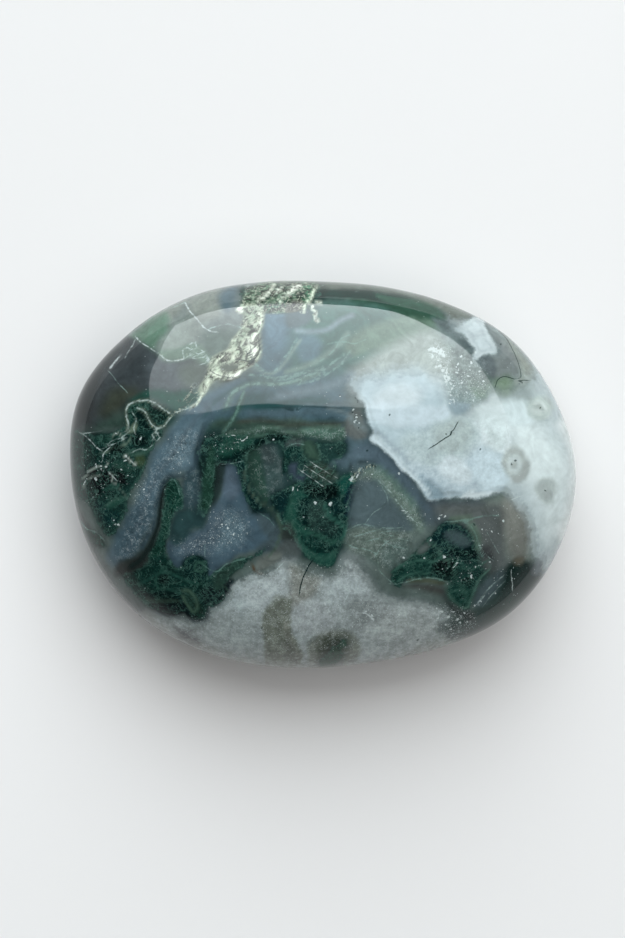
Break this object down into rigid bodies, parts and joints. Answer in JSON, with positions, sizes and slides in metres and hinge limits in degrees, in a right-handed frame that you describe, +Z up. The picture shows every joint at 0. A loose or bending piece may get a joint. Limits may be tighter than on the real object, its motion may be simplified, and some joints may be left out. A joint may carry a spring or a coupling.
{
  "type": "moss agate palm stone",
  "caption": "Polished oval palm stone of green, white and blue-grey moss agate that lies on its flat belly.",
  "frame": {"origin": "on the surface that the stone rests on, under the middle of its plan outline", "axes": "+Z up through the crown, +X along the stone's length towards its white end, +Y across its width"},
  "size_m": [0.07, 0.0536, 0.022],
  "materials": {
    "moss_agate": "mirror-polished translucent chalcedony with dark green moss, milky white cloud and blue-grey layers"
  },
  "bodies": {
    "root": {"moss_agate": "moss_agate"}
  },
  "joints": []
}
